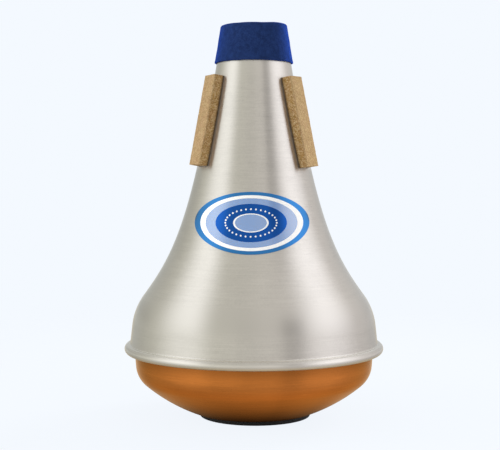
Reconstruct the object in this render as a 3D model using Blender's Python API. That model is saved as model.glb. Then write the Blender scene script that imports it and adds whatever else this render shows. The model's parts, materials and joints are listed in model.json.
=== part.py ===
"""A straight mute for a trumpet, standing on its base, in metres with +Z up and its front facing -Y.

The spun aluminium shell is open at its neck. Its lower edge is rolled into a bead that grips the
rim of a copper base dish. A rubber foot is stuck under the dish, a flocked cap covers the end of
the neck, three cork strips seat the cone in the trumpet's bell, and an oval label is wrapped on
the front. Nothing moves.

A profile is a list of (radius, level) points. A slope is an angle from the vertical.
"""

import math

import bmesh
import bpy
from mathutils import Vector

# Facets: how many round the axis, and how far an arc's facets may cut inside it
SEGMENTS = 60
FACET_CUT = 0.00004
FLARE_STEPS = 10
LABEL_RINGS = 6
LABEL_SPOKES = 36
CORK_STEPS_LONG = 6
CORK_STEPS_WIDE = 4
SHARP_EDGE = math.radians(35)

# Gap between pieces that touch
CLEARANCE = 0.0003

# Whole mute, from the floor to the top of the cap
OVERALL_HEIGHT = 0.1585

# Rubber foot
FOOT_RADIUS = 0.022
FOOT_THICKNESS = 0.0017
FOOT_ROUNDING = 0.0005

# Copper base dish
DISH_SHEET = 0.0007
DISH_FLAT_RADIUS = 0.0246
DISH_DOME_RADIUS = 0.069
DISH_KNUCKLE_RADIUS = 0.0101
DISH_WALL_HEIGHT = 0.0057
DISH_WALL_SLOPE = math.radians(4.6)

# Aluminium shell: its wall, the bead below it, the shoulder and the flare above it
SHELL_SHEET = 0.0008
BODY_RADIUS = 0.0506
BODY_WALL_HEIGHT = 0.0094
BODY_WALL_SLOPE = math.radians(6.4)
BEAD_ROUND = 0.00185
BEAD_PROUD = 0.0021
BEAD_RETURN = 0.00225
BEAD_FILLET = 0.0012
SHOULDER_RADIUS = 0.0253
SHOULDER_SLOPE = math.radians(36.2)
FLARE_UPPER_PULL = 0.69
FLARE_LOWER_PULL = 0.21

# Neck of the shell, whose end the cap covers
NECK_RADIUS = 0.01275
NECK_SLOPE = math.radians(9.4)

# Flocked cap
CAP_SHEET = 0.0005
CAP_LENGTH = 0.01525
CAP_ROUNDING = 0.0009
CAP_LIP = 0.0007

# Cork strips: where each one is glued, as its turn from the front and its drop below the cap
CORK_LENGTH = 0.037
CORK_WIDTH = 0.0096
CORK_THICKNESS = 0.0032
CORK_PLACES = {
    "cork_left": (math.radians(-64), 0.0061),
    "cork_right": (math.radians(60), 0.0068),
    "cork_rear": (math.radians(178), 0.0064),
}

# Oval label: its width goes round the cone, and its level is counted from the bead
LABEL_WIDTH = 0.0512
LABEL_HEIGHT = 0.0251
LABEL_THICKNESS = 0.0003
LABEL_LEVEL = 0.0514
LABEL_TURN = math.radians(-1)

# Radii that follow from the sizes above
BEAD_CENTRE_RADIUS = BODY_RADIUS + BEAD_PROUD - BEAD_ROUND
DISH_RADIUS = BEAD_CENTRE_RADIUS - BEAD_RETURN - CLEARANCE
DISH_RIM_ROUND = BEAD_ROUND - SHELL_SHEET - CLEARANCE
DISH_WALL_FOOT_RADIUS = DISH_RADIUS - DISH_WALL_HEIGHT * math.tan(DISH_WALL_SLOPE)
KNUCKLE_CENTRE_RADIUS = DISH_WALL_FOOT_RADIUS - DISH_KNUCKLE_RADIUS * math.cos(DISH_WALL_SLOPE)

# The dome is part of a sphere centred on the axis, and the knuckle touches it from inside
DOME_TO_KNUCKLE = DISH_DOME_RADIUS - DISH_KNUCKLE_RADIUS
DOME_OUTER_TILT = math.acos(KNUCKLE_CENTRE_RADIUS / DOME_TO_KNUCKLE)
DOME_INNER_TILT = math.acos(DISH_FLAT_RADIUS / DISH_DOME_RADIUS)

# Levels that follow from the sizes above
DISH_FLAT_LEVEL = FOOT_THICKNESS + CLEARANCE
DOME_CENTRE_LEVEL = DISH_FLAT_LEVEL + DISH_DOME_RADIUS * math.sin(DOME_INNER_TILT)
KNUCKLE_CENTRE_LEVEL = DOME_CENTRE_LEVEL - DOME_TO_KNUCKLE * math.sin(DOME_OUTER_TILT)
DISH_WALL_FOOT_LEVEL = KNUCKLE_CENTRE_LEVEL - DISH_KNUCKLE_RADIUS * math.sin(DISH_WALL_SLOPE)
BEAD_LEVEL = DISH_WALL_FOOT_LEVEL + DISH_WALL_HEIGHT + BEAD_ROUND
CAP_EDGE_LEVEL = OVERALL_HEIGHT - CAP_LENGTH
NECK_END_LEVEL = OVERALL_HEIGHT - CAP_SHEET - CLEARANCE


def arc(centre, radius, start, end):
    """Points round a centre from one angle to another, counted anticlockwise from outwards."""
    facet = 2 * math.acos(1 - FACET_CUT / radius)
    steps = max(2, math.ceil(abs(end - start) / facet))
    angles = [start + (end - start) * i / steps for i in range(steps + 1)]
    return [
        (centre[0] + radius * math.cos(a), centre[1] + radius * math.sin(a)) for a in angles
    ]


def rounded(before, corner, after, radius):
    """The arc that rounds off a corner between two straight runs."""
    corner = Vector(corner)
    back = (Vector(before) - corner).normalized()
    ahead = (Vector(after) - corner).normalized()
    half = back.angle(ahead) / 2
    centre = corner + (back + ahead).normalized() * radius / math.sin(half)
    start = corner + back * radius / math.tan(half) - centre
    end = corner + ahead * radius / math.tan(half) - centre
    first = math.atan2(start.y, start.x)
    turn = math.remainder(math.atan2(end.y, end.x) - first, 2 * math.pi)
    return arc(centre, radius, first, first + turn)


def curve(start, start_pull, end_pull, end, steps):
    """Points of a cubic curve, the end left out."""
    points = [Vector(p) for p in (start, start_pull, end_pull, end)]
    found = []
    for i in range(steps):
        t = i / steps
        weights = ((1 - t) ** 3, 3 * t * (1 - t) ** 2, 3 * t * t * (1 - t), t**3)
        at = sum((w * p for w, p in zip(weights, points)), Vector((0, 0)))
        found.append((at.x, at.y))
    return found


def thickened(path, sheet):
    """The path moved by the sheet's thickness to the side on its right as it is followed."""
    points = [Vector(p) for p in path]
    sides = []
    for a, b in zip(points, points[1:]):
        along = (b - a).normalized()
        sides.append(Vector((along.y, -along.x)))
    moved = []
    for at, before, after in zip(points, sides[:1] + sides, sides + sides[-1:]):
        middle = (before + after).normalized()
        step = middle * sheet / middle.dot(after)
        moved.append((at.x + step.x, at.y + step.y))
    return moved


def downward(slope):
    """A unit step down a surface that widens at this slope."""
    return Vector((math.sin(slope), -math.cos(slope)))


def neck_radius(level):
    """Outside radius of the neck's straight cone at a level."""
    return NECK_RADIUS + (NECK_END_LEVEL - level) * math.tan(NECK_SLOPE)


def bead_profile():
    """Outside of the fillet and the bead, from the body's wall to the bead's turned-in edge."""
    bead = Vector((BEAD_CENTRE_RADIUS, BEAD_LEVEL))
    outward = Vector((math.cos(BODY_WALL_SLOPE), math.sin(BODY_WALL_SLOPE)))
    upward = Vector((-outward.y, outward.x))
    aside = BEAD_FILLET - (BEAD_CENTRE_RADIUS - BODY_RADIUS) * outward.x
    above = math.sqrt((BEAD_FILLET + BEAD_ROUND) ** 2 - aside**2)
    fillet = bead + outward * aside + upward * above
    meet = fillet - bead
    meeting = math.atan2(meet.y, meet.x)
    wall_side = math.pi + BODY_WALL_SLOPE
    profile = arc(fillet, BEAD_FILLET, wall_side, math.pi + meeting)
    profile += arc(bead, BEAD_ROUND, meeting, -math.pi / 2)[1:]
    return profile + [(DISH_RADIUS + CLEARANCE, BEAD_LEVEL - BEAD_ROUND)]


def shell_profile():
    """Outside of the shell, from the end of the neck to the bead's turned-in edge."""
    wall_top_level = BEAD_LEVEL + BODY_WALL_HEIGHT
    wall_top_radius = BODY_RADIUS - BODY_WALL_HEIGHT * math.tan(BODY_WALL_SLOPE)
    shoulder = (
        wall_top_radius - SHOULDER_RADIUS * math.cos(BODY_WALL_SLOPE),
        wall_top_level - SHOULDER_RADIUS * math.sin(BODY_WALL_SLOPE),
    )
    rounding = arc(shoulder, SHOULDER_RADIUS, SHOULDER_SLOPE, BODY_WALL_SLOPE)
    top = Vector((neck_radius(CAP_EDGE_LEVEL), CAP_EDGE_LEVEL))
    bottom = Vector(rounding[0])
    drop = top.y - bottom.y
    top_pull = top + downward(NECK_SLOPE) * drop * FLARE_UPPER_PULL
    bottom_pull = bottom - downward(SHOULDER_SLOPE) * drop * FLARE_LOWER_PULL
    flare = curve(top, top_pull, bottom_pull, bottom, FLARE_STEPS)
    return [(NECK_RADIUS, NECK_END_LEVEL)] + flare + rounding + bead_profile()


SHELL_PROFILE = shell_profile()


def shell_radius(level):
    """Outside radius of the shell above its bead, at a level."""
    for (upper_radius, upper), (lower_radius, lower) in zip(SHELL_PROFILE, SHELL_PROFILE[1:]):
        if lower <= level:
            share = (upper - level) / (upper - lower)
            return upper_radius + (lower_radius - upper_radius) * share
    return BODY_RADIUS


def material(name, colour, roughness, metallic=0.0):
    made = bpy.data.materials.new(name)
    made.use_nodes = True
    shader = made.node_tree.nodes["Principled BSDF"]
    shader.inputs["Base Color"].default_value = (*colour, 1.0)
    shader.inputs["Roughness"].default_value = roughness
    shader.inputs["Metallic"].default_value = metallic
    return made


def finished(name, shape, surface):
    """The bmesh as a named object, facing outwards and shaded smooth up to its sharp edges."""
    bmesh.ops.recalc_face_normals(shape, faces=shape.faces)
    mesh = bpy.data.meshes.new(name)
    shape.to_mesh(mesh)
    shape.free()
    mesh.shade_smooth()
    mesh.set_sharp_from_angle(angle=SHARP_EDGE)
    mesh.materials.append(surface)
    made = bpy.data.objects.new(name, mesh)
    bpy.context.scene.collection.objects.link(made)
    return made


def turned(name, section, surface):
    """A section of (radius, level) points spun round the axis. Ends on the axis close it there."""
    shape = bmesh.new()
    points = [shape.verts.new((radius, 0, level)) for radius, level in section]
    pairs = list(zip(points, points[1:]))
    if section[0][0] > 0:
        pairs.append((points[-1], points[0]))
    edges = [shape.edges.new(pair) for pair in pairs]
    bmesh.ops.spin(
        shape,
        geom=points + edges,
        cent=(0, 0, 0),
        axis=(0, 0, 1),
        angle=2 * math.pi,
        steps=SEGMENTS,
        use_merge=True,
    )
    bmesh.ops.remove_doubles(shape, verts=shape.verts, dist=CLEARANCE / 100)
    return finished(name, shape, surface)


def closed_between(name, outer, inner, surface):
    """A solid between two grids of points with as many rows and columns, joined round their edges."""
    shape = bmesh.new()
    grids = [[[shape.verts.new(p) for p in row] for row in grid] for grid in (outer, inner)]
    rims = []
    for grid in grids:
        for row, following in zip(grid, grid[1:]):
            for i in range(len(row) - 1):
                shape.faces.new((row[i], row[i + 1], following[i + 1], following[i]))
        sides = [row[-1] for row in grid[1:-1]], [row[0] for row in grid[-2:0:-1]]
        rims.append(grid[0] + sides[0] + grid[-1][::-1] + sides[1])
    for i in range(len(rims[0])):
        shape.faces.new((rims[0][i - 1], rims[0][i], rims[1][i], rims[1][i - 1]))
    return finished(name, shape, surface)


def body_shell(surface):
    inside = thickened(SHELL_PROFILE, SHELL_SHEET)
    return turned("body_shell", SHELL_PROFILE + inside[::-1], surface)


def base_dish(surface):
    """The dish, whose rim is folded thick enough to fill the bead."""
    bead = (BEAD_CENTRE_RADIUS, BEAD_LEVEL)
    knuckle = (KNUCKLE_CENTRE_RADIUS, KNUCKLE_CENTRE_LEVEL)
    dome = (0, DOME_CENTRE_LEVEL)
    skin = [(DISH_RADIUS, BEAD_LEVEL - BEAD_ROUND)]
    skin += arc(knuckle, DISH_KNUCKLE_RADIUS, -DISH_WALL_SLOPE, -DOME_OUTER_TILT)
    skin += arc(dome, DISH_DOME_RADIUS, -DOME_OUTER_TILT, -DOME_INNER_TILT)[1:]
    skin += [(0, DISH_FLAT_LEVEL)]
    rim = [(DISH_RADIUS - DISH_SHEET, BEAD_LEVEL + DISH_RIM_ROUND)]
    rim += arc(bead, DISH_RIM_ROUND, math.pi / 2, -math.pi / 2)
    rim += [(DISH_RADIUS, BEAD_LEVEL - DISH_RIM_ROUND)]
    inside = thickened(skin, DISH_SHEET)[::-1]
    return turned("base_dish", inside + rim + skin, surface)


def base_foot(surface):
    top = (FOOT_RADIUS, FOOT_THICKNESS)
    edge = rounded(top, (FOOT_RADIUS, 0), (0, 0), FOOT_ROUNDING)
    return turned("base_foot", [(0, FOOT_THICKNESS), top] + edge + [(0, 0)], surface)


def neck_cap(surface):
    """A sleeve parallel to the neck's cone, with a lip turned in over the neck's end."""
    stand_off = CLEARANCE / math.cos(NECK_SLOPE)
    outside = stand_off + CAP_SHEET / math.cos(NECK_SLOPE)
    lip_level = OVERALL_HEIGHT - CAP_SHEET
    mouth = NECK_RADIUS - SHELL_SHEET / math.cos(NECK_SLOPE) - CAP_LIP
    lower = (neck_radius(CAP_EDGE_LEVEL) + outside, CAP_EDGE_LEVEL)
    corner = (neck_radius(OVERALL_HEIGHT) + outside, OVERALL_HEIGHT)
    section = [(mouth, OVERALL_HEIGHT)]
    section += rounded((mouth, OVERALL_HEIGHT), corner, lower, CAP_ROUNDING)
    section += [
        lower,
        (neck_radius(CAP_EDGE_LEVEL) + stand_off, CAP_EDGE_LEVEL),
        (neck_radius(lip_level) + stand_off, lip_level),
        (mouth, lip_level),
    ]
    return turned("neck_cap", section, surface)


def cork_strip(name, turn, drop, surface):
    """A flat-faced strip across the cone's slope, hollowed underneath to the cone."""
    outward = Vector((math.sin(turn), -math.cos(turn), 0))
    across = Vector((math.cos(turn), math.sin(turn), 0))
    top_level = CAP_EDGE_LEVEL - drop
    slope = math.atan2(
        shell_radius(top_level - CORK_LENGTH) - shell_radius(top_level), CORK_LENGTH
    )
    bottom_level = top_level - CORK_LENGTH * math.cos(slope)
    top, bottom = (
        outward * (shell_radius(level) + CLEARANCE) + Vector((0, 0, level))
        for level in (top_level, bottom_level)
    )
    lift = (outward * math.cos(slope) + Vector((0, 0, math.sin(slope)))) * CORK_THICKNESS
    face, underside = [], []
    for i in range(CORK_STEPS_LONG + 1):
        along = i / CORK_STEPS_LONG
        on_face = top.lerp(bottom, along) + lift
        level = top_level + (bottom_level - top_level) * along
        radius = shell_radius(level) + CLEARANCE
        offsets = [CORK_WIDTH * (j / CORK_STEPS_WIDE - 0.5) for j in range(CORK_STEPS_WIDE + 1)]
        face.append([on_face + across * offset for offset in offsets])
        underside.append(
            [
                outward * math.sqrt(radius**2 - offset**2) + across * offset + Vector((0, 0, level))
                for offset in offsets
            ]
        )
    return closed_between(name, face, underside, surface)


def label_point(share, angle, stand_off):
    """A point of the label, from its middle at share 0 to its edge at share 1."""
    centre_level = BEAD_LEVEL + LABEL_LEVEL
    centre_radius = shell_radius(centre_level)
    reach = LABEL_HEIGHT / 2
    spread = shell_radius(centre_level - reach) - shell_radius(centre_level + reach)
    rise = reach * math.cos(math.atan2(spread, LABEL_HEIGHT))
    side = centre_radius * math.sin(LABEL_WIDTH / 2 / centre_radius * share) * math.cos(angle)
    level = centre_level + rise * share * math.sin(angle)
    front = -math.sqrt((shell_radius(level) + stand_off) ** 2 - side**2)
    return (
        side * math.cos(LABEL_TURN) - front * math.sin(LABEL_TURN),
        side * math.sin(LABEL_TURN) + front * math.cos(LABEL_TURN),
        level,
    )


def label(surface):
    """A thin oval, wrapped on the shell, that looks like an ellipse from the front."""
    shape = bmesh.new()
    edges = []
    for stand_off in (CLEARANCE, CLEARANCE + LABEL_THICKNESS):
        middle = shape.verts.new(label_point(0, 0, stand_off))
        rings = [
            [
                shape.verts.new(
                    label_point(ring / LABEL_RINGS, 2 * math.pi * spoke / LABEL_SPOKES, stand_off)
                )
                for spoke in range(LABEL_SPOKES)
            ]
            for ring in range(1, LABEL_RINGS + 1)
        ]
        for i in range(LABEL_SPOKES):
            shape.faces.new((middle, rings[0][i - 1], rings[0][i]))
            for inner, outer in zip(rings, rings[1:]):
                shape.faces.new((inner[i - 1], inner[i], outer[i], outer[i - 1]))
        edges.append(rings[-1])
    for i in range(LABEL_SPOKES):
        shape.faces.new((edges[0][i - 1], edges[0][i], edges[1][i], edges[1][i - 1]))
    return finished("label", shape, surface)


def main():
    for old in list(bpy.data.objects):
        bpy.data.objects.remove(old, do_unlink=True)
    body_shell(material("brushed_aluminium", (0.62, 0.60, 0.55), 0.35, 1.0))
    base_dish(material("brushed_copper", (0.50, 0.20, 0.055), 0.35, 1.0))
    base_foot(material("black_rubber", (0.012, 0.010, 0.009), 0.8))
    neck_cap(material("blue_flock", (0.012, 0.04, 0.22), 0.95))
    cork = material("cork", (0.46, 0.29, 0.15), 0.9)
    for name, (turn, drop) in CORK_PLACES.items():
        cork_strip(name, turn, drop, cork)
    label(material("printed_label", (0.05, 0.15, 0.50), 0.4))


main()
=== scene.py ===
"""A straight mute for a trumpet, dressed with its finishes and set in a pale studio.

The mute stands on its base with +Z up and its front facing -Y, in metres. Every round piece is a
profile of (radius, level) points turned about Z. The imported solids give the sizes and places, and
each piece here stands for one of them.
"""

import json
import math

import bmesh
import bpy
import numpy as np
from bpy.props import FloatProperty, FloatVectorProperty, IntProperty, PointerProperty
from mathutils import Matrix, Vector


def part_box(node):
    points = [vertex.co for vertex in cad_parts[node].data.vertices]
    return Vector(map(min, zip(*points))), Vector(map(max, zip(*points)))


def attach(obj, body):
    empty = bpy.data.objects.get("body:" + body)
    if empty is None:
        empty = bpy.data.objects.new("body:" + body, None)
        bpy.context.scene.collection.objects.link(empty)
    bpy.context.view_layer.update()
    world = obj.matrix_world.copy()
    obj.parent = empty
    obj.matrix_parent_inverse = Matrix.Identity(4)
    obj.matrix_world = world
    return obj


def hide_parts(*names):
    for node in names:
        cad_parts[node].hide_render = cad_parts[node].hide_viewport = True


bl_info = {
    "name": "Trumpet Straight Mute",
    "version": (1, 0, 0),
    "blender": (4, 5, 0),
    "location": "View3D > Sidebar > Mute",
    "description": "Builds a spun aluminium trumpet mute with a copper base, cork strips and a flocked cap",
    "category": "Add Mesh",
}

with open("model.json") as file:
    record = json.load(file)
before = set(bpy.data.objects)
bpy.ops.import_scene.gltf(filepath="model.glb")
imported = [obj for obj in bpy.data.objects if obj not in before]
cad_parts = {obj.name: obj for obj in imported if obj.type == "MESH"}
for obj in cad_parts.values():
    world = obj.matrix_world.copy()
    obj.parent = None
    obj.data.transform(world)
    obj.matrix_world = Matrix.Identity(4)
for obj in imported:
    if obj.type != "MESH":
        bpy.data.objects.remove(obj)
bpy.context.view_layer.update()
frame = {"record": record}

SHELL_LOW, SHELL_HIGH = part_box("body_shell")
DISH_LOW, DISH_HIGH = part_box("base_dish")
FOOT_LOW, FOOT_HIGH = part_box("base_foot")
CAP_LOW, CAP_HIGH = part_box("neck_cap")
LABEL_LOW, LABEL_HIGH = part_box("label")
CORK_SEATS = {"left": "bell_seat_left", "right": "bell_seat_right", "rear": "bell_seat_rear"}

MERGE = 1e-7
TOUCH = 0.00003
SHARP = math.radians(40)


def paint(red, green, blue):
    """A colour as it looks on a screen, from 0 to 255, turned into the linear numbers that shaders take."""
    shares = np.array([red, green, blue]) / 255
    linear = np.where(shares > 0.04045, ((shares + 0.055) / 1.055) ** 2.4, shares / 12.92)
    return tuple(float(share) for share in linear)


def length(name, description, default):
    return FloatProperty(
        name=name, description=description, default=default, min=0, unit="LENGTH", precision=5
    )


def angle(name, description, degrees):
    return FloatProperty(
        name=name, description=description, default=math.radians(degrees), unit="ROTATION"
    )


def share(name, description, default, top=1.0):
    return FloatProperty(name=name, description=description, default=default, min=0, max=top)


def colour(name, description, *screen):
    return FloatVectorProperty(
        name=name,
        description=description,
        default=paint(*screen),
        size=3,
        min=0,
        max=1,
        subtype="COLOR",
    )


class ShellSettings(bpy.types.PropertyGroup):
    """The spun aluminium shell, from its neck to the bead round its foot."""

    sheet: length("Sheet", "Thickness of the aluminium", 0.0008)
    wall_radius: length("Wall radius", "Outside of the wall where it would meet the bead", 0.0506)
    wall_height: length("Wall height", "Height of the wall above the bead", 0.0094)
    wall_slope: angle("Wall slope", "Lean of the wall from the vertical", 6.4)
    bead_round: length("Bead", "Radius of the rolled bead's section", 0.00185)
    bead_return: length("Bead return", "How far the bead's edge turns back in", 0.00225)
    bead_fillet: length("Bead fillet", "Radius of the groove above the bead", 0.0006)
    shoulder_radius: length("Shoulder", "Radius of the shoulder's rounding", 0.0253)
    shoulder_slope: angle("Shoulder slope", "Lean of the flare where the shoulder starts", 36.2)
    upper_pull: share("Upper pull", "How long the flare keeps the neck's slope", 0.69)
    lower_pull: share("Lower pull", "How early the flare takes the shoulder's slope", 0.21)
    neck_radius: length("Neck radius", "Outside radius of the neck's end", 0.01275)
    neck_slope: angle("Neck slope", "Lean of the neck's cone", 9.4)
    metal: colour("Metal", "Colour of the aluminium", 190, 181, 171)
    # A painted highlight: the colour that the groove above the bead is painted in front.
    wear_and_painted_light: colour("Worn", "Colour of the aluminium rubbed bright in the groove", 255, 250, 242)
    edge: colour("Edge", "Tint of the aluminium seen almost along its surface", 236, 236, 236)
    segments: IntProperty(
        name="Segments", description="Facets of every turned piece", default=256, min=24
    )


class DishSettings(bpy.types.PropertyGroup):
    """The copper base dish."""

    sheet: length("Sheet", "Thickness of the copper", 0.0007)
    flat_radius: length("Flat", "Radius of the flat that the foot is stuck to", 0.0246)
    dome_radius: length("Dome", "Radius of the sphere that the bottom is part of", 0.069)
    knuckle_radius: length("Knuckle", "Radius of the bend into the wall", 0.0101)
    wall_height: length("Wall height", "Height of the wall above the knuckle", 0.0057)
    wall_slope: angle("Wall slope", "Lean of the wall from the vertical", 4.6)
    metal: colour("Metal", "Colour of the copper", 193, 113, 51)
    edge: colour("Edge", "Tint of the copper seen almost along its surface", 244, 227, 200)


class FootSettings(bpy.types.PropertyGroup):
    """The rubber foot."""

    spread: length("Spread", "How far the rubber bulges out past its solid", 0.0005)
    aside: length("Aside", "How far to the right the foot is glued", 0.0005)
    rounding: length("Rounding", "Radius of the foot's lower edge", 0.0002)
    rubber: colour("Rubber", "Colour of the rubber", 26, 22, 19)


class CapSettings(bpy.types.PropertyGroup):
    """The flocked cap over the neck's end."""

    wall: length("Wall", "Thickness of the cap's wall", 0.0005)
    gap: length("Gap", "Gap between the cap and the neck", 0.0003)
    rounding: length("Rounding", "Radius of the cap's upper edge", 0.0008)
    hem_rise: length("Hem rise", "How far the cap's lower edge is pulled up", 0.00015)
    hem: length("Hem", "How far the cap's lower edge stands out", 0.00006)
    swell: length("Swell", "How much higher the cap stands on its right", 0.00045)
    unevenness: length("Unevenness", "How uneven the flock is", 0.00006)
    lip: length("Lip", "How far the cap turns in over the neck's wall", 0.0007)
    flock: colour("Flock", "Colour of the flock seen straight on", 30, 49, 92)
    bloom: colour("Bloom", "Colour of the flock seen along its surface", 26, 84, 224)


class CorkSettings(bpy.types.PropertyGroup):
    """The three cork strips."""

    run: length("Length", "Length of a strip down the cone", 0.0364)
    raised: length("Raised", "How far up the cone a strip sits from its seat's middle", 0.0006)
    lean: angle("Lean", "How far the right strip is glued out of true", 2)
    width: length("Width", "Width of a strip round the cone", 0.0096)
    thickness: length("Thickness", "Thickness of a strip", 0.0032)
    rounding: length("Rounding", "Wear on a strip's edges", 0.00035)
    cork: colour("Cork", "Main colour of the cork", 174, 137, 81)
    face: colour("Face", "Colour of the worn outer face", 178, 149, 105)
    dark_grain: colour("Dark grain", "Colour of the cork's dark grains", 103, 72, 38)
    pale_grain: colour("Pale grain", "Colour of the cork's pale grains", 215, 191, 148)
    ripe: colour("Ripe", "Colour that parts of the cork lean to", 186, 140, 112)
    # Painted shade where a strip meets the cone.
    root: colour("Root", "Colour of the cork where it meets the cone", 52, 44, 34)


class LabelSettings(bpy.types.PropertyGroup):
    """The oval label on the front."""

    thickness: length("Thickness", "Thickness of the label's film", 0.00012)
    turn: angle("Turn", "How far round the label is stuck", -2.5)
    raised: length("Raised", "How far up from its solid's middle the label is stuck", 0.0003)
    dots: IntProperty(name="Dots", description="Dots in the deep field", default=32, min=3)
    rim: colour("Rim", "Colour of the rim", 55, 117, 173)
    line: colour("Line", "Colour of the white lines", 253, 254, 255)
    field: colour("Field", "Colour of the deep field", 29, 79, 152)
    foil: colour("Foil", "Colour of the ink over the foil", 48, 125, 199)


class StageSettings(bpy.types.PropertyGroup):
    """The camera, its distance and the studio's colours."""

    distance: length("Distance", "Camera's distance in front of the axis", 0.4592)
    height: length("Height", "Camera's height above the floor", 0.09515)
    aside: FloatProperty(
        name="Aside", description="Camera's place along X", default=-0.00158, unit="LENGTH"
    )
    pitch: angle("Pitch", "How far the camera looks down", 2.162)
    lens: FloatProperty(name="Lens", description="Focal length in millimetres", default=81)
    backdrop: colour("Backdrop", "Colour behind the mute", 244, 249, 255)
    left_tint: colour("Left tint", "Colour that the metal sees on its left", 244, 252, 246)
    right_tint: colour("Right tint", "Colour that the metal sees on its right", 246, 249, 255)
    low_tint: colour("Low tint", "Colour of the light seen low behind the mute", 255, 236, 190)
    box_tint: colour("Box tint", "Colour of the soft boxes in the metal", 232, 241, 255)
    fill: share("Fill", "Strength of the even light from all round", 0.9, 5)
    left_box: share("Left box", "Strength of the left soft box in the metal", 1.13, 5)
    right_box: share("Right box", "Strength of the right soft box in the metal", 1.2, 5)
    floor_radius: length("Floor", "Radius at which the floor has faded away", 0.4)


def arc(centre, radius, start, end, steps):
    """Points at the centre plus radius times (cos a, sin a), with a running evenly from start to end."""
    turn = np.linspace(start, end, steps + 1)
    return np.stack(
        [centre[0] + radius * np.cos(turn), centre[1] + radius * np.sin(turn)], axis=1
    )


def pulled(start, start_pull, end_pull, end, steps):
    """A cubic curve: the four points weighted by (1-t)^3, 3t(1-t)^2, 3t^2(1-t) and t^3, end left out."""
    t = np.linspace(0, 1, steps, endpoint=False)[:, None]
    weights = ((1 - t) ** 3, 3 * t * (1 - t) ** 2, 3 * t**2 * (1 - t), t**3)
    return sum(w * np.array(p) for w, p in zip(weights, (start, start_pull, end_pull, end)))


def rounded(before, corner, after, radius, steps):
    """The arc of this radius that touches both straight runs that meet at the corner."""
    before, corner, after = (np.array(p, float) for p in (before, corner, after))
    back = (before - corner) / np.linalg.norm(before - corner)
    ahead = (after - corner) / np.linalg.norm(after - corner)
    half = math.acos(back @ ahead) / 2
    middle = (back + ahead) / np.linalg.norm(back + ahead)
    centre = corner + middle * radius / math.sin(half)
    first, last = (corner + way * radius / math.tan(half) - centre for way in (back, ahead))
    start = math.atan2(first[1], first[0])
    turn = math.remainder(math.atan2(last[1], last[0]) - start, 2 * math.pi)
    return arc(centre, radius, start, start + turn, steps)


def thickened(path, sheet):
    """The path moved to its right by the sheet: along the mean of its two sides' normals, lengthened by one over the cosine of half the bend."""
    along = np.diff(path, axis=0)
    along /= np.linalg.norm(along, axis=1)[:, None]
    side = np.stack([along[:, 1], -along[:, 0]], axis=1)
    before, after = np.vstack([side[:1], side]), np.vstack([side, side[-1:]])
    middle = before + after
    middle /= np.linalg.norm(middle, axis=1)[:, None]
    return path + middle * sheet / (middle * after).sum(axis=1)[:, None]


def downward(slope):
    """A unit step down a surface that widens at this slope."""
    return np.array([math.sin(slope), -math.cos(slope)])


def travelled(path):
    """Distance along a path of points, from its first one."""
    steps = np.linalg.norm(np.diff(path, axis=0), axis=-1)
    return np.concatenate([[0], np.cumsum(steps)])


def cloud(points, cell, seed):
    """Smooth noise from -1 to 1: random values on a lattice of this cell, blended by 3t^2 - 2t^3 along each axis."""
    lattice = np.random.default_rng(seed).uniform(-1, 1, (32, 32, 32))
    scaled = points / cell
    base = np.floor(scaled).astype(int)
    part = scaled - base
    ease = part * part * (3 - 2 * part)
    total = np.zeros(points.shape[:-1])
    for corner in np.ndindex(2, 2, 2):
        at = (base + corner) % 32
        weight = np.where(corner, ease, 1 - ease).prod(axis=-1)
        total += weight * lattice[at[..., 0], at[..., 1], at[..., 2]]
    return total


def surfaced(name, points, uv, material, wraps=(False, False)):
    """A mesh of quads on a grid of points. uv has one more row or column than points where the grid wraps."""
    index = np.arange(points.shape[0] * points.shape[1]).reshape(points.shape[:2])
    if wraps[0]:
        index = np.vstack([index, index[:1]])
    if wraps[1]:
        index = np.hstack([index, index[:, :1]])

    def corners(grid):
        return np.stack([grid[:-1, :-1], grid[:-1, 1:], grid[1:, 1:], grid[1:, :-1]], axis=2)

    quads = corners(index).reshape(-1, 4)
    mesh = bpy.data.meshes.new(name)
    mesh.vertices.add(index.max() + 1)
    mesh.vertices.foreach_set("co", points.astype(np.float32).ravel())
    mesh.loops.add(quads.size)
    mesh.loops.foreach_set("vertex_index", quads.astype(np.int32).ravel())
    mesh.polygons.add(len(quads))
    mesh.polygons.foreach_set("loop_start", np.arange(0, quads.size, 4, dtype=np.int32))
    mesh.uv_layers.new(name="surface")
    mesh.uv_layers[0].data.foreach_set("uv", corners(uv).astype(np.float32).ravel())
    mesh.update(calc_edges=True)

    shape = bmesh.new()
    shape.from_mesh(mesh)
    bmesh.ops.remove_doubles(shape, verts=shape.verts, dist=MERGE)
    bmesh.ops.recalc_face_normals(shape, faces=shape.faces)
    shape.to_mesh(mesh)
    shape.free()
    mesh.shade_smooth()
    mesh.set_sharp_from_angle(angle=SHARP)
    mesh.materials.append(material)
    made = bpy.data.objects.new(name, mesh)
    bpy.context.scene.collection.objects.link(made)
    return made


def turned(name, section, segments, material):
    """A section turned about Z: point (i, j) is (r_j cos a_i, r_j sin a_i, z_j), and v is the way along the section in metres. A section that starts off the axis is a closed loop."""
    looped = section[0, 0] > MERGE
    turn = np.linspace(-math.pi / 2, 1.5 * math.pi, segments + 1)
    radius, level = section[:, :1], section[:, 1:]
    points = np.stack(
        [radius * np.cos(turn[:-1]), radius * np.sin(turn[:-1]), level + 0 * turn[:-1]], axis=2
    )
    path = np.vstack([section, section[:1]]) if looped else section
    u, v = np.meshgrid(np.linspace(0, 1, segments + 1), travelled(path))
    return surfaced(name, points, np.stack([u, v], axis=2), material, (looped, True))


def moved(piece, way):
    """Every point of the piece goes where the way sends it."""
    points = np.empty(len(piece.data.vertices) * 3, np.float32)
    piece.data.vertices.foreach_get("co", points)
    sent = way(points.reshape(-1, 3).astype(float))
    piece.data.vertices.foreach_set("co", sent.astype(np.float32).ravel())
    piece.data.update()


def mounted(piece, node):
    """The piece moves with the mute and stands for the node."""
    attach(piece, "root")
    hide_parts(node)


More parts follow.
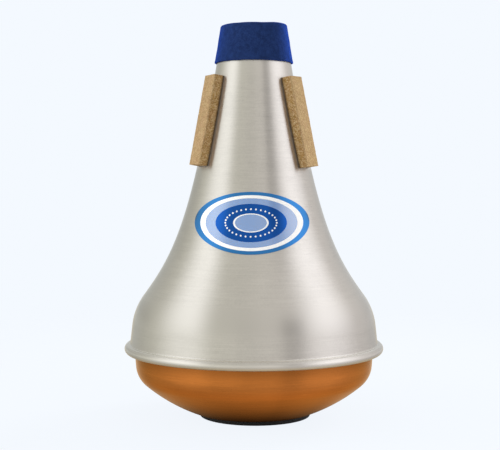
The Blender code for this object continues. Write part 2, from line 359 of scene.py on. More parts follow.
class Signal:
    """A socket that takes arithmetic: each operator adds a Math node beside it."""

    def __init__(self, nodes, socket):
        self.nodes = nodes
        self.socket = socket

    def math(self, operation, *terms):
        return self.nodes.add("ShaderNodeMath", dict(enumerate(terms)), operation=operation)

    def __add__(self, other):
        return self.math("ADD", self, other)

    __radd__ = __add__

    def __mul__(self, other):
        return self.math("MULTIPLY", self, other)

    __rmul__ = __mul__

    def __sub__(self, other):
        return self.math("SUBTRACT", self, other)

    def __rsub__(self, other):
        return self.math("SUBTRACT", other, self)

    def __truediv__(self, other):
        return self.math("DIVIDE", self, other)

    def __rtruediv__(self, other):
        return self.math("DIVIDE", other, self)

    def __pow__(self, other):
        return self.math("POWER", self, other)

    def band(self, start, full, still_full, end):
        """1 between full and still_full, falling smoothly to 0 at start and at end."""
        return self.rise(start, full) * self.rise(end, still_full)

    def rise(self, start, end):
        """0 below start and 1 above end, and the other way round where start is the larger."""
        limits = {"From Min": start, "From Max": end}
        return self.nodes.add(
            "ShaderNodeMapRange", {"Value": self, **limits}, interpolation_type="SMOOTHSTEP"
        )


class Nodes:
    """The nodes of a material or a world, added one by one."""

    def __init__(self, owner):
        owner.use_nodes = True
        self.tree = owner.node_tree
        self.tree.nodes.clear()

    def add(self, kind, inputs=None, output=0, stops=None, **settings):
        """A node with its settings made first, then its sockets' values or links. The result is one output."""
        made = self.tree.nodes.new(kind)
        for name, value in settings.items():
            setattr(made, name, value)
        for place, tint in (stops or {}).items():
            points = made.color_ramp.elements
            stop = points[0] if place == 0 else points[-1] if place == 1 else points.new(place)
            stop.color = (*tint, 1)
        for name, value in (inputs or {}).items():
            if isinstance(value, Signal):
                self.tree.links.new(value.socket, made.inputs[name])
            else:
                made.inputs[name].default_value = value
        return Signal(self, made.outputs[output]) if made.outputs else None

    def mix(self, factor, first, second):
        """A colour that goes from first to second as the factor goes from 0 to 1."""
        first, second = ((*c, 1) if isinstance(c, tuple) else c for c in (first, second))
        return self.add("ShaderNodeMix", {0: factor, 6: first, 7: second}, 2, data_type="RGBA")

    def noise(self, vector, scale, detail=2.0, roughness=0.5):
        sockets = {"Vector": vector, "Scale": scale, "Detail": detail, "Roughness": roughness}
        return self.add("ShaderNodeTexNoise", sockets)

    def parts(self, vector):
        """The vector's x, y and z."""
        return [self.add("ShaderNodeSeparateXYZ", {"Vector": vector}, axis) for axis in range(3)]

    def vector(self, *parts):
        return self.add("ShaderNodeCombineXYZ", dict(enumerate(parts)))

    def along(self, vector, way, start):
        """How far the vector lies from the start along a way."""
        sockets = {0: vector, 1: tuple(way)}
        return self.add("ShaderNodeVectorMath", sockets, "Value", operation="DOT_PRODUCT") - float(way @ start)

    def finished(self, relief=None, depth=0.0, **sockets):
        """The Principled shader of the material, with an optional relief of this depth in metres."""
        named = {name.replace("_", " ").title().replace("Ior", "IOR"): value for name, value in sockets.items()}
        if relief is not None:
            named["Normal"] = self.add("ShaderNodeBump", {"Height": relief, "Distance": depth})
        shader = self.add("ShaderNodeBsdfPrincipled", named)
        self.add("ShaderNodeOutputMaterial", {"Surface": shader})


def material_nodes(name):
    made = bpy.data.materials.new(name)
    return made, Nodes(made)


def scaled(tint, factor):
    """A colour times a factor, which stops at 1."""
    return tuple(min(1, part * factor) for part in tint)


def brushed_metal(name, metal, edge, streak, gloss, painted_light_bands, painted=None, strips=()):
    """Metal turned against an abrasive: long streaks round the axis that vary quickly along the profile.

    Each band along the profile (start, full, still full, end) is painted to its colour: painted light and painted
    shade.
    One more band with its colour is a painted highlight, strongest in front and fading towards the sides and the
    back.
    Beside the cork strips given the metal is made less metallic, a painted shade that dulls it there.
    """
    made, nodes = material_nodes(name)
    x, y, _ = nodes.parts(nodes.add("ShaderNodeTexCoord", output="Object"))
    _, along, _ = nodes.parts(nodes.add("ShaderNodeTexCoord", output="UV"))
    radius = (x * x + y * y) ** 0.5
    east, north = x / radius + 0.13, y / radius + 0.27
    fine = nodes.noise(nodes.vector(east * 5, north * 5, along * 5200), 1, 3, 0.6)
    broad = nodes.noise(nodes.vector(east * 1.5, north * 1.5, along * 900), 1, 2)
    haze = nodes.noise(nodes.vector(east * 2, north * 2, along * 40), 1, 2)
    lines = fine * 0.7 + broad * 0.3
    tint = nodes.mix(lines.rise(0.3, 0.7), scaled(metal, 1 - streak), scaled(metal, 1 + streak))
    spot = nodes.add("ShaderNodeTexCoord", output="Object")
    specks = nodes.noise(spot, 1600, 3, 0.65).rise(0.35, 0.65) * 0.05
    dents = nodes.noise(spot, 110, 4, 0.65).rise(0.38, 0.68) * 0.03
    tint = nodes.mix(specks + dents, tint, (0, 0, 0))
    # Bands of painted light and painted shade along the profile.
    for band, wear_and_painted_light in painted_light_bands.items():
        tint = nodes.mix(along.band(*band) * 0.95, tint, wear_and_painted_light)
    # A painted highlight band, strongest in front and fading towards the sides and the back.
    if painted:
        band, wear_and_painted_light = painted
        front = (y / radius).rise(-0.05, -0.85)
        tint = nodes.mix(along.band(*band) * front * 0.95, tint, wear_and_painted_light)
    metallic = 1.0
    # Painted shade beside the cork strips: the metal there is made up to a quarter less metallic, which darkens and
    # dulls it.
    for middle, out, across, down, width, run in strips:
        aside = nodes.along(spot, across, middle)
        ahead = nodes.along(spot, down, middle)
        beside = (aside.math("ABSOLUTE", aside) - width / 2).rise(0.0032, 0.0004)
        beside = beside * (ahead.math("ABSOLUTE", ahead) - run / 2).rise(0.0016, 0)
        beside = beside * nodes.along(spot, out, middle).rise(-0.02, -0.01)
        metallic = metallic - beside * 0.25
    nodes.finished(
        relief=lines,
        depth=0.00002,
        base_color=tint,
        metallic=metallic,
        roughness=lines * 0.12 + haze * 0.08 + gloss,
        anisotropic=0.75,
        anisotropic_rotation=0.25,
        specular_tint=(*edge, 1),
    )
    return made


def flocked(name, flock, bloom):
    """Short upright fibres: dark seen straight on and bright along the surface."""
    made, nodes = material_nodes(name)
    place = nodes.add("ShaderNodeTexCoord", output="Object")
    fibres = nodes.noise(place, 3000, 2, 0.6)
    tufts = nodes.noise(place, 600, 3, 0.6)
    nodes.finished(
        relief=fibres * 0.6 + tufts * 0.4,
        depth=0.0002,
        base_color=nodes.mix(
            (fibres * 0.5 + tufts * 0.5).rise(0.3, 0.7), scaled(flock, 0.7), scaled(flock, 1.45)
        ),
        roughness=0.95,
        specular_ior_level=0.1,
        sheen_weight=1.0,
        sheen_roughness=0.4,
        sheen_tint=(*bloom, 1),
    )
    return made


def pressed_cork(name, settings):
    """Cork pressed from grains: cells of unlike browns, dark specks between them and small pits.

    The map's second number is the height above the cone, up to 1 at the face, which is scuffed pale.
    """
    made, nodes = material_nodes(name)
    place = nodes.add("ShaderNodeTexCoord", output="Object")
    _, height, _ = nodes.parts(nodes.add("ShaderNodeTexCoord", output="UV"))
    cork, face, dark, pale, root = (
        tuple(getattr(settings, part))
        for part in ("cork", "face", "dark_grain", "pale_grain", "root")
    )
    grain = nodes.add(
        "ShaderNodeTexVoronoi", {"Vector": place, "Scale": 2600, "Randomness": 1}, "Color"
    )
    tone, _, _ = nodes.parts(grain)
    fine = nodes.noise(place, 3000, 3, 0.65)
    patch = nodes.noise(place, 260, 2)
    ripe = nodes.noise(place, 420, 2)
    wear_and_painted_light = (height + patch * 0.16 - 0.08).rise(0.76, 0.97)
    depth = 1 - wear_and_painted_light * 0.25
    body = nodes.mix(wear_and_painted_light, cork, face)
    body = nodes.mix(ripe.rise(0.35, 0.65) * 0.22, body, tuple(settings.ripe))
    body = nodes.mix(tone.rise(0.45, 1.0) * depth * 0.68, body, pale)
    body = nodes.mix(tone.rise(0.45, 0.0) * depth * 0.4, body, dark)
    body = nodes.mix(patch.rise(0.45, 0.7) * depth * 0.08, body, dark)
    body = nodes.mix(fine.rise(0.54, 0.64) * depth * 0.5, body, dark)
    # Painted shade: the cork is painted darker towards the cone, where the strip meets it.
    foot = height.rise(0.3, 0.04) * (fine * 0.8 + 0.5)
    nodes.finished(
        relief=fine * 0.6 + tone * 0.4,
        depth=0.00008,
        base_color=nodes.mix(foot * 0.85, body, root),
        roughness=0.9,
        specular_ior_level=0.25,
    )
    return made


def rubber(name, tint):
    """Dull black rubber with a faint moulded grain."""
    made, nodes = material_nodes(name)
    place = nodes.add("ShaderNodeTexCoord", output="Object")
    grain = nodes.noise(place, 1800, 3)
    nodes.finished(
        relief=grain,
        depth=0.00004,
        base_color=nodes.mix(grain, scaled(tint, 0.8), tint),
        roughness=grain * 0.2 + 0.6,
    )
    return made


def printed_film(name, settings, reach, rise):
    """Ovals printed inside one another on foil that the metal's reflections show through.

    The map's middle is (0, 0) and its edge is one away from there, which is the reach to the side
    and the rise upward in metres. A dot's middle is on the dots' oval at the nearest whole step.
    """
    made, nodes = material_nodes(name)
    u, v, _ = nodes.parts(nodes.add("ShaderNodeTexCoord", output="UV"))
    out = (u * u + v * v) ** 0.5
    rim, line, field, foil = (
        tuple(getattr(settings, part)) for part in ("rim", "line", "field", "foil")
    )
    step = 2 * math.pi / settings.dots
    turn = v.math("ARCTAN2", v, u) / step
    turn = turn.math("ROUND", turn) * step
    aside = (u - turn.math("COSINE", turn) * 0.44) * reach
    above = (v - turn.math("SINE", turn) * 0.44) * rise
    dot = ((aside * aside + above * above) ** 0.5).rise(0.00038, 0.00028)
    border = out.rise(0.888, 0.894)
    tint = nodes.mix(out.rise(0.27, 0.276), foil, line)
    tint = nodes.mix(out.rise(0.3, 0.306), tint, field)
    tint = nodes.mix(dot, tint, line)
    tint = nodes.mix(out.rise(0.61, 0.616), tint, foil)
    tint = nodes.mix(out.rise(0.79, 0.796), tint, line)
    tint = nodes.mix(border, tint, rim)
    white = out.band(0.79, 0.796, 0.888, 0.894) + out.band(0.27, 0.276, 0.3, 0.306)
    deep = out.band(0.3, 0.306, 0.61, 0.616) * (1 - dot)
    grain = nodes.noise(nodes.add("ShaderNodeTexCoord", output="Object"), 1500, 3)
    nodes.finished(
        relief=grain,
        depth=0.000004,
        base_color=tint,
        metallic=deep + border,
        roughness=0.2 + white * 0.25 + border * 0.2 + grain * 0.04,
        ior=3.0,
        specular_tint=(1, 0.88, 0.72, 1),
        anisotropic=0.75,
        anisotropic_rotation=0.25,
    )
    return made


def shell_outside(settings):
    """Outside of the shell as a profile from the neck's end to the bead's turned-in edge."""
    bead_radius = SHELL_HIGH.x - settings.bead_round
    bead = np.array([bead_radius, SHELL_LOW.z + settings.bead_round])
    lean = settings.wall_slope
    wall_top = np.array(
        [
            settings.wall_radius - settings.wall_height * math.tan(lean),
            bead[1] + settings.wall_height,
        ]
    )
    outward = np.array([math.cos(lean), math.sin(lean)])
    shoulder = wall_top - outward * settings.shoulder_radius
    rounding = arc(shoulder, settings.shoulder_radius, settings.shoulder_slope, lean, 40)

    neck_end = np.array([settings.neck_radius, SHELL_HIGH.z])
    neck_run = (SHELL_HIGH.z - CAP_LOW.z) / math.cos(settings.neck_slope)
    top = neck_end + downward(settings.neck_slope) * neck_run
    drop = top[1] - rounding[0, 1]
    flare = pulled(
        top,
        top + downward(settings.neck_slope) * drop * settings.upper_pull,
        rounding[0] - downward(settings.shoulder_slope) * drop * settings.lower_pull,
        rounding[0],
        90,
    )
    neck = np.linspace(neck_end, top, 12, endpoint=False)

    upward = np.array([-outward[1], outward[0]])
    aside = settings.bead_fillet - (bead[0] - settings.wall_radius) * outward[0]
    above = math.sqrt((settings.bead_fillet + settings.bead_round) ** 2 - aside**2)
    groove = bead + outward * aside + upward * above
    meet = math.atan2(*(groove - bead)[::-1])
    hollow = arc(groove, settings.bead_fillet, math.pi + lean, math.pi + meet, 14)
    wall = np.linspace(rounding[-1], hollow[0], 10, endpoint=False)[1:]
    roll = arc(bead, settings.bead_round, meet, -math.pi / 2, 36)[1:]
    edge = np.array([[bead[0] - settings.bead_return, SHELL_LOW.z]])
    return np.vstack([neck, flare, rounding, wall, hollow, roll, edge])


def shell_radius(level):
    """Outside radius of the shell above its groove, at any levels."""
    outside = shell_outside(bpy.context.scene.mute_shell)
    lowest = SHELL_LOW.z + 3 * bpy.context.scene.mute_shell.bead_round
    wall = outside[outside[:, 1] > lowest]
    return np.interp(level, wall[::-1, 1], wall[::-1, 0])


def dish_outside(settings, bead_return):
    """Outside of the dish as a profile from the middle of its flat to the edge under the bead."""
    radius = SHELL_HIGH.x - bpy.context.scene.mute_shell.bead_round - bead_return - TOUCH
    foot_radius = radius - settings.wall_height * math.tan(settings.wall_slope)
    knuckle_x = foot_radius - settings.knuckle_radius * math.cos(settings.wall_slope)
    reach = settings.dome_radius - settings.knuckle_radius
    outer, inner = (
        math.acos(knuckle_x / reach),
        math.acos(settings.flat_radius / settings.dome_radius),
    )
    dome = (0, DISH_LOW.z + settings.dome_radius * math.sin(inner))
    knuckle = (knuckle_x, dome[1] - reach * math.sin(outer))
    return np.vstack(
        [
            [[0, DISH_LOW.z]],
            arc(dome, settings.dome_radius, -inner, -outer, 60)[:-1],
            arc(knuckle, settings.knuckle_radius, -outer, -settings.wall_slope, 30),
            [[radius, SHELL_LOW.z]],
            [[radius, SHELL_LOW.z + 0.001]],
        ]
    )


class MUTE_OT_shell(bpy.types.Operator):
    """Spin the aluminium shell, with its bead and its open neck"""

    bl_idname = "mute.shell"
    bl_label = "Aluminium shell"

    def execute(self, context):
        settings = context.scene.mute_shell
        outside = shell_outside(settings)
        inside = thickened(outside, settings.sheet)[::-1]
        section = np.vstack([outside, inside[:-1:2], inside[-1:]])
        groove = travelled(outside)[outside[:, 0] >= settings.wall_radius][0]
        bare = tuple(settings.metal)
        # Painted light along the profile: a little lighter near the neck's end, a painted shade on the wall and
        # lower shoulder above the groove, and a painted highlight on the bead's roll.
        painted_light_bands = {
            (-0.001, 0, 0.008, 0.03): scaled(bare, 1.03),
            (groove - 0.022, groove - 0.017, groove - 0.012, groove - 0.006): scaled(bare, 0.95),
            (groove + 0.0020, groove + 0.0028, groove + 0.0040, groove + 0.0052): scaled(bare, 1.14),
        }
        # A painted highlight in the groove above the bead, strongest in front.
        hollow = (groove - 0.0002, groove + 0.0001, groove + 0.0007, groove + 0.0015)
        metal = brushed_metal(
            "brushed_aluminium",
            bare,
            tuple(settings.edge),
            0.06,
            0.2,
            painted_light_bands,
            (hollow, tuple(settings.wear_and_painted_light)),
            strip_seats(),
        )
        mounted(turned("spun_shell", section, settings.segments, metal), "body_shell")
        return {"FINISHED"}


class MUTE_OT_dish(bpy.types.Operator):
    """Spin the copper dish that closes the shell's wide end"""

    bl_idname = "mute.dish"
    bl_label = "Copper dish"

    def execute(self, context):
        settings = context.scene.mute_dish
        outside = dish_outside(settings, context.scene.mute_shell.bead_return)
        inside = thickened(outside[::-1], settings.sheet)
        inside[-1, 0] = 0
        section = np.vstack([outside, inside])
        rim = travelled(outside)[-2]
        bare = tuple(settings.metal)
        # Painted shade: the copper is painted darker just under the bead, where the bead shades it.
        painted_light_bands = {(rim - 0.0055, rim + 0.0002, rim + 0.002, rim + 0.003): scaled(bare, 0.58)}
        metal = brushed_metal("brushed_copper", bare, tuple(settings.edge), 0.08, 0.15, painted_light_bands)
        piece = turned("copper_dish", section, context.scene.mute_shell.segments, metal)
        mounted(piece, "base_dish")
        return {"FINISHED"}


class MUTE_OT_foot(bpy.types.Operator):
    """Turn the rubber foot under the dish"""

    bl_idname = "mute.foot"
    bl_label = "Rubber foot"

    def execute(self, context):
        settings = context.scene.mute_foot
        radius, top = FOOT_HIGH.x + settings.spread, DISH_LOW.z - TOUCH
        edge = rounded((radius, top), (radius, 0), (0, 0), settings.rounding, 8)
        section = np.vstack([[[0, top]], [[radius, top]], edge, [[0, 0]]])
        piece = turned(
            "rubber_foot",
            section,
            context.scene.mute_shell.segments,
            rubber("black_rubber", tuple(settings.rubber)),
        )
        moved(piece, lambda points: points + np.array([settings.aside, 0, 0]))
        mounted(piece, "base_foot")
        return {"FINISHED"}


class MUTE_OT_cap(bpy.types.Operator):
    """Pull the flocked cap over the end of the neck"""

    bl_idname = "mute.cap"
    bl_label = "Flocked cap"

    def execute(self, context):
        settings, shell = context.scene.mute_cap, context.scene.mute_shell
        lean = shell.neck_slope
        inner = shell.neck_radius + settings.gap / math.cos(lean)
        outer = inner + settings.wall / math.cos(lean)

        def beside(base, level):
            return (base + (SHELL_HIGH.z - level) * math.tan(lean), level)

        top, bottom = CAP_HIGH.z, CAP_LOW.z + settings.hem_rise
        mouth = shell.neck_radius - shell.sheet / math.cos(lean) - settings.lip
        hem = beside(outer + settings.hem, bottom + settings.wall)
        low = (bottom + bottom + settings.wall) / 2
        section = np.vstack(
            [
                [[mouth, top]],
                rounded((mouth, top), beside(outer, top), hem, settings.rounding, 16),
                np.linspace(beside(outer, top - 0.0015), beside(outer, bottom + 0.0015), 24),
                [hem],
                rounded(hem, beside(outer + settings.hem, bottom), (inner, bottom), 0.0003, 6),
                [beside(inner, bottom)],
                [beside(inner, low)],
                [beside(inner, top - settings.wall)],
                [[mouth, top - settings.wall]],
            ]
        )
        flock = flocked("blue_flock", tuple(settings.flock), tuple(settings.bloom))
        piece = turned("flocked_cap", section, shell.segments, flock)

        def uneven(points):
            """Level and radius each grow by shares of the height up the cap and of smooth noise."""
            x, y, z = points.T
            high = np.clip((z - bottom) / (top - bottom), 0, 1)
            side = np.clip((x / inner - 0.2) / 0.6, 0, 1)
            lifted = z + settings.swell * high * side**2 * (3 - 2 * side)
            swollen = 1 + cloud(points, 0.002, 7) * settings.unevenness / inner
            lifted = lifted + cloud(points, 0.003, 8) * settings.unevenness
            return np.stack([x * swollen, y * swollen, lifted], axis=1)

        moved(piece, uneven)
        mounted(piece, "neck_cap")
        return {"FINISHED"}


def strip_seats():
    """Middle, way out, way across, way down, width and run of each cork strip."""
    settings = bpy.context.scene.mute_corks
    seats = {mount["name"]: mount for mount in frame["record"]["mounts"]}
    found = []
    for side, mount in CORK_SEATS.items():
        out = np.array(seats[mount]["axis"])
        level_across = np.array([-out[1], out[0], 0]) / math.hypot(out[0], out[1])
        down = np.cross(level_across, out)
        down *= -np.sign(down[2])
        middle = np.array(seats[mount]["pos_m"]) - down * settings.raised
        lean = settings.lean if side == "right" else 0
        across = level_across * math.cos(lean) - down * math.sin(lean)
        down = down * math.cos(lean) + level_across * math.sin(lean)
        found.append((middle, out, across, down, settings.width, settings.run))
    return found


def cork_strip(name, seat, settings, seed, material):
    """A strip whose section is a rounded oblong between the cone and a flat face.

    Point (i, j) is the underside plus h_j times the way to the face, at x_j across the strip and
    at station i down it. Stations before the first and after the last draw the section in to its
    middle, which closes the ends.
    """
    middle, out, across, down, _, _ = seat
    level_out = np.array([out[0], out[1], 0]) / math.hypot(out[0], out[1])
    level_across = np.array([-level_out[1], level_out[0], 0])
    corners = [(-0.5, 0.0), (0.5, 0.0), (0.5, 1.0), (-0.5, 1.0)]
    half = np.array([settings.width, settings.thickness])
    ring = []
    for i in range(4):
        before, corner, after = (np.array(corners[k % 4]) * half for k in (i - 1, i, i + 1))
        bend = rounded(before, corner, after, settings.rounding, 5)
        run = np.linspace(bend[-1], (corner + after) / 2, 10, endpoint=False)[1:]
        lead = np.linspace((corner + before) / 2, bend[0], 10, endpoint=False)
        ring += [lead, bend, run]
    ring = np.vstack(ring)
    stations = np.linspace(-0.5, 0.5, 120) * settings.run
    ends = np.linspace(0, 1, 8, endpoint=False)
    shrink = np.concatenate([ends, np.ones(len(stations)), ends[::-1]])
    stations = np.concatenate([stations[:1].repeat(8), stations, stations[-1:].repeat(8)])
    centre = np.array([0, settings.thickness / 2])
    spot = centre + (ring - centre)[None] * shrink[:, None, None]
    x, h = spot[..., 0], spot[..., 1] / settings.thickness
    face = middle + down * stations[:, None, None] + across * x[..., None]
    level = face[..., 2] - out[2] * settings.thickness
    aside = face @ level_across
    reach = np.sqrt(np.maximum((shell_radius(level) + TOUCH) ** 2 - aside**2, 0))
    under = level_out * reach[..., None] + level_across * aside[..., None]
    under[..., 2] = level
    points = under + (face - under) * h[..., None]
    outwards = across * (x / settings.width)[..., None] + out * (h - 0.5)[..., None]
    rough = cloud(points, 0.0011, seed) * 0.00006 + cloud(points, 0.0004, seed + 1) * 0.00003
    points = points + outwards * rough[..., None] * np.minimum(h * 4, 1)[..., None]
    points = points + down * (cloud(points, 0.0009, seed + 2) * 0.00004)[..., None]
    uv = np.stack([x / settings.width, h], axis=2)
    return surfaced(name, points, np.hstack([uv, uv[:, :1]]), material, (False, True))


class MUTE_OT_corks(bpy.types.Operator):
    """Glue the three cork strips to the cone"""

    bl_idname = "mute.corks"
    bl_label = "Cork strips"

    def execute(self, context):
        settings = context.scene.mute_corks
        cork = pressed_cork("cork", settings)
        for seed, (side, seat) in enumerate(zip(CORK_SEATS, strip_seats())):
            piece = cork_strip(f"cork_strip_{side}", seat, settings, seed * 10, cork)
            mounted(piece, f"cork_{side}")
        return {"FINISHED"}


class MUTE_OT_label(bpy.types.Operator):
    """Wrap the oval label on the front of the cone"""

    bl_idname = "mute.label"
    bl_label = "Oval label"

    def execute(self, context):
        """Point (i, j) lies a share s_i out from the middle at an angle a_j, on the cone's radius."""
        settings = context.scene.mute_label
        turn = settings.turn
        rise = (LABEL_HIGH.z - LABEL_LOW.z) / 2
        reach = (LABEL_HIGH.x - LABEL_LOW.x) / 2 / math.cos(turn)
        spokes, rings = 240, 36
        shares = np.linspace(0, 1, rings + 1)
        lift = np.concatenate([np.full(rings + 1, 1.0), np.zeros(rings + 1)])
        shares = np.concatenate([shares, shares[::-1]])[:, None]
        around = np.linspace(0, 2 * math.pi, spokes, endpoint=False)
        side = reach * shares * np.cos(around)
        middle = (LABEL_HIGH.z + LABEL_LOW.z) / 2 + settings.raised
        level = middle + rise * shares * np.sin(around)
        stand_off = TOUCH + settings.thickness * lift[:, None]
        front = -np.sqrt((shell_radius(level) + stand_off) ** 2 - side**2)
        points = np.stack(
            [
                side * math.cos(turn) - front * math.sin(turn),
                side * math.sin(turn) + front * math.cos(turn),
                level,
            ],
            axis=2,
        )
        closed = np.append(around, 2 * math.pi)
        uv = np.stack([shares * np.cos(closed), shares * np.sin(closed)], axis=2)
        film = printed_film("printed_label", settings, reach, rise)
        piece = surfaced("oval_label", points, uv, film, (False, True))
        piece.data.use_auto_texspace = False
        piece.data.texspace_location = (0, 0, middle)
        piece.data.texspace_size = (SHELL_HIGH.x, SHELL_HIGH.x, rise)
        mounted(piece, "label")
        return {"FINISHED"}


def seen_room(nodes, settings):
    """What the metal sees: the pale room with two tall soft boxes arched over the mute.

    A groove round the mute shows a direction (x, y, z) at the turn atan2(x, 1 - y), whatever the
    level, so each box is a band of that turn. Its height there is z over the length of (x, 1 - y).
    """
    x, y, z = nodes.parts(nodes.add("ShaderNodeTexCoord", output="Generated"))
    turn = x.math("ARCTAN2", x, 1 - y)
    height = z / (x * x + (1 - y) * (1 - y)) ** 0.5
    left = turn.band(*(math.radians(edge) for edge in (-56, -34, -31, -17)))
    right = turn.band(*(math.radians(edge) for edge in (16, 35, 39, 59)))
    right = right * (1 - turn.rise(0.7, 0.95) * height.rise(0, -0.2) * 0.6)
    spill = turn.band(*(math.radians(edge) for edge in (40, 52, 58, 76)))
    front = turn.band(*(math.radians(edge) for edge in (-30, -10, 14, 30)))
    warm_side = turn.band(*(math.radians(edge) for edge in (-86, -77, -64, -52)))
    wall = height.band(-0.12, -0.03, 0.04, 0.12)
    warm_side = warm_side * (1 - wall * 0.4)
    spill = spill * (1 - height.rise(0.25, 0.1) * 0.5)
    gap = turn.band(*(math.radians(edge) for edge in (11, 15, 20, 26))) * height.rise(0.42, 0.25)
    gap = gap * (1 - wall * 0.5) * (height.rise(-0.16, -0.03) * 0.7 + 0.3)
    facing = turn.band(*(math.radians(edge) for edge in (-84, -62, 66, 86)))
    collar = height.band(0.0, 0.1, 0.22, 0.36)
    cool_side = turn.band(*(math.radians(edge) for edge in (58, 68, 80, 88))) * collar
    seam = turn.band(*(math.radians(edge) for edge in (-12, -5, -2, 5)))
    reach = height.rise(-0.2, 0.3)
    boxes = left * (reach * 0.6 + 0.4) * settings.left_box
    boxes = boxes + right * (reach * 0.72 + 0.28) * settings.right_box
    boxes = boxes * y.rise(0.75, 0.35) * height.rise(-0.55, -0.28) * height.rise(1.25, 0.75)
    level = 1.02 + spill * 0.19 - warm_side * (0.12 + collar * 0.17) - gap * 0.5 + wall * 0.1
    sides = 1 - turn.band(*(math.radians(edge) for edge in (-72, -48, 48, 72)))
    level = level - sides * height.rise(0.75, 1.4) * 0.14
    beside = turn.band(*(math.radians(edge) for edge in (38, 46, 54, 62))) * collar
    level = level - beside * 0.12
    level = level - cool_side * 0.08 - seam * (0.04 + collar * 0.04)
    front = front * (1 - height.band(0.0, 0.14, 0.25, 0.4) * 0.5)
    level = level + front * (turn.rise(-0.2, 0.15) * 0.07 + 0.05)
    level = level + turn.band(0.1, 0.4, 0.6, 0.85) * height.rise(0, -0.4) * 0.19
    between = turn.band(*(math.radians(edge) for edge in (-34, -24, -14, -2)))
    level = level + between * height.band(-0.34, -0.2, -0.08, 0.02) * 0.3
    level = level + turn.band(-0.25, -0.1, 0.1, 0.3) * height.rise(0.02, -0.1) * 0.09
    low = 1 - height.rise(0.05, -0.3) * facing * 0.32
    tint = nodes.mix(x * 0.5 + 0.5, tuple(settings.left_tint), tuple(settings.right_tint))
    far = (1 - turn.band(*(math.radians(edge) for edge in (-86, -72, 72, 86)))) * height.rise(0, -0.2)
    far = far + height.rise(-0.3, -0.8)
    tint = nodes.mix(far * 0.7, tint, tuple(settings.low_tint))
    room = nodes.add("ShaderNodeBackground", {"Color": tint, "Strength": level * low})
    lit = nodes.add(
        "ShaderNodeBackground", {"Color": (*settings.box_tint, 1), "Strength": boxes * low}
    )
    return nodes.add("ShaderNodeAddShader", {0: room, 1: lit})


def soft_lamp(name, turn, distance, level, width, height, power, aim=0.08):
    """A rectangular lamp at a turn from the front, facing a point of the axis."""
    lamp = bpy.data.lights.new(name, "AREA")
    lamp.shape = "RECTANGLE"
    lamp.size, lamp.size_y, lamp.energy = width, height, power
    made = bpy.data.objects.new(name, lamp)
    made.location = (distance * math.sin(turn), -distance * math.cos(turn), level)
    way = Vector((0, 0, aim)) - made.location
    made.rotation_euler = way.to_track_quat("-Z", "Y").to_euler()
    made.visible_camera = False
    made.visible_glossy = False
    bpy.context.scene.collection.objects.link(made)


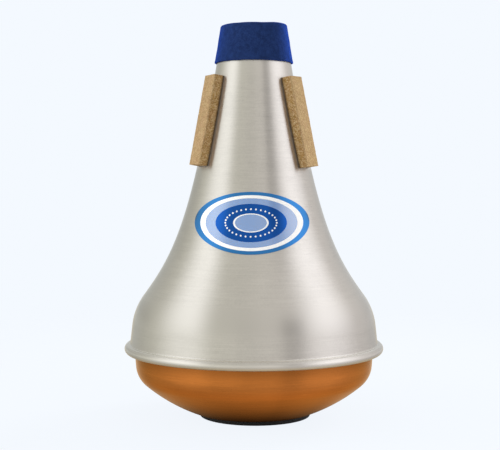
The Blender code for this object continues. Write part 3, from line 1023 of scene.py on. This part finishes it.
class MUTE_OT_stage(bpy.types.Operator):
    """Set up the floor, the even light, the lamps and the camera"""

    bl_idname = "mute.stage"
    bl_label = "Pale studio"

    def execute(self, context):
        settings = context.scene.mute_stage
        backdrop = (*settings.backdrop, 1)

        world = bpy.data.worlds.new("pale_studio")
        context.scene.world = world
        nodes = Nodes(world)
        rays = {
            kind: nodes.add("ShaderNodeLightPath", output=f"Is {kind} Ray")
            for kind in ("Camera", "Glossy", "Transmission")
        }
        seen = rays["Camera"].math("MAXIMUM", rays["Camera"], rays["Transmission"])
        _, _, up = nodes.parts(nodes.add("ShaderNodeTexCoord", output="Generated"))
        overhead = (0.5 + up * 0.7).math("MAXIMUM", 0.5 + up * 0.7, 0.3)
        even = nodes.add(
            "ShaderNodeBackground",
            {"Color": (1, 1, 1, 1), "Strength": overhead * settings.fill},
        )
        plain = nodes.add("ShaderNodeBackground", {"Color": backdrop, "Strength": 1.0})
        lit = nodes.add("ShaderNodeMixShader", {0: seen, 1: even, 2: plain})
        room = seen_room(nodes, settings)
        both = nodes.add("ShaderNodeMixShader", {0: rays["Glossy"], 1: lit, 2: room})
        nodes.add("ShaderNodeOutputWorld", {"Surface": both})

        floor, nodes = material_nodes("pale_floor")
        camera_ray = nodes.add("ShaderNodeLightPath", output="Is Camera Ray")
        x, y, _ = nodes.parts(nodes.add("ShaderNodeTexCoord", output="Object"))
        out = (x * x + y * y) ** 0.5
        behind = nodes.add("ShaderNodeNewGeometry", output="Backfacing")
        gone = out.rise(settings.floor_radius * 0.3, settings.floor_radius)
        glossy_ray = nodes.add("ShaderNodeLightPath", output="Is Glossy Ray")
        # A painted shadow under the mute, which the metal sees in the floor: darkest under the foot.
        shaded = ((x * x * 1.3 + y * y) ** 0.5).rise(0.0215, 0.047) * 0.95 + 0.05
        matt = nodes.add("ShaderNodeBsdfDiffuse", {"Color": (0.85, 0.85, 0.85, 1)})
        glow = nodes.add("ShaderNodeEmission", {"Color": backdrop, "Strength": 1.0})
        clear = nodes.add("ShaderNodeBsdfTransparent")
        veiled = nodes.add(
            "ShaderNodeBsdfTransparent", {"Color": nodes.mix(shaded, (0, 0, 0), (1, 1, 1))}
        )
        both = nodes.add("ShaderNodeMixShader", {0: camera_ray * 0.95, 1: matt, 2: glow})
        both = nodes.add("ShaderNodeMixShader", {0: glossy_ray, 1: both, 2: veiled})
        both = nodes.add(
            "ShaderNodeMixShader", {0: gone.math("MAXIMUM", gone, behind), 1: both, 2: clear}
        )
        nodes.add("ShaderNodeOutputMaterial", {"Surface": both})
        mesh = bpy.data.meshes.new("floor")
        reach = settings.floor_radius
        mesh.from_pydata(
            [(x * reach, y * reach, 0) for x, y in ((-1, -1), (1, -1), (1, 1), (-1, 1))],
            [],
            [(0, 1, 2, 3)],
        )
        mesh.materials.append(floor)
        ground = bpy.data.objects.new("floor", mesh)
        context.scene.collection.objects.link(ground)

        soft_lamp("left_lamp", math.radians(-80), 0.8, 0.35, 0.3, 1.0, 2.45)
        soft_lamp("rim_lamp", math.radians(132), 0.8, 0.3, 0.3, 0.8, 9)
        soft_lamp("front_lamp", math.radians(-47), 0.8, 0.3, 0.5, 0.8, 1.35)
        soft_lamp("right_lamp", math.radians(62), 0.8, 0.3, 0.3, 0.8, 0.3)

        camera = bpy.data.cameras.new("camera")
        camera.lens = settings.lens
        camera.sensor_width = 36
        camera.clip_start = 0.01
        made = bpy.data.objects.new("camera", camera)
        made.location = (settings.aside, -settings.distance, settings.height)
        made.rotation_euler = (math.pi / 2 - settings.pitch, 0, 0)
        context.scene.collection.objects.link(made)
        context.scene.camera = made
        context.scene.view_settings.view_transform = "Standard"
        return {"FINISHED"}


class MUTE_PT_pieces(bpy.types.Panel):
    """The mute's pieces and its studio"""

    bl_idname = "MUTE_PT_pieces"
    bl_label = "Trumpet straight mute"
    bl_space_type = "VIEW_3D"
    bl_region_type = "UI"
    bl_category = "Mute"

    def draw(self, context):
        for operator, group in BUILDERS.items():
            box = self.layout.box()
            box.operator(operator.bl_idname)
            settings = getattr(context.scene, group)
            for name in settings.__annotations__:
                box.prop(settings, name)


GROUPS = {
    "mute_shell": ShellSettings,
    "mute_dish": DishSettings,
    "mute_foot": FootSettings,
    "mute_cap": CapSettings,
    "mute_corks": CorkSettings,
    "mute_label": LabelSettings,
    "mute_stage": StageSettings,
}
BUILDERS = {
    MUTE_OT_stage: "mute_stage",
    MUTE_OT_shell: "mute_shell",
    MUTE_OT_dish: "mute_dish",
    MUTE_OT_foot: "mute_foot",
    MUTE_OT_cap: "mute_cap",
    MUTE_OT_corks: "mute_corks",
    MUTE_OT_label: "mute_label",
}


def register():
    for group in GROUPS.values():
        bpy.utils.register_class(group)
    for name, group in GROUPS.items():
        setattr(bpy.types.Scene, name, PointerProperty(type=group))
    for operator in BUILDERS:
        bpy.utils.register_class(operator)
    bpy.utils.register_class(MUTE_PT_pieces)


def unregister():
    bpy.utils.unregister_class(MUTE_PT_pieces)
    for operator in reversed(BUILDERS):
        bpy.utils.unregister_class(operator)
    for name, group in reversed(GROUPS.items()):
        delattr(bpy.types.Scene, name)
        bpy.utils.unregister_class(group)


def main():
    register()
    for operator in BUILDERS:
        group, name = operator.bl_idname.split(".")
        getattr(getattr(bpy.ops, group), name)()


if __name__ == "__main__":
    main()
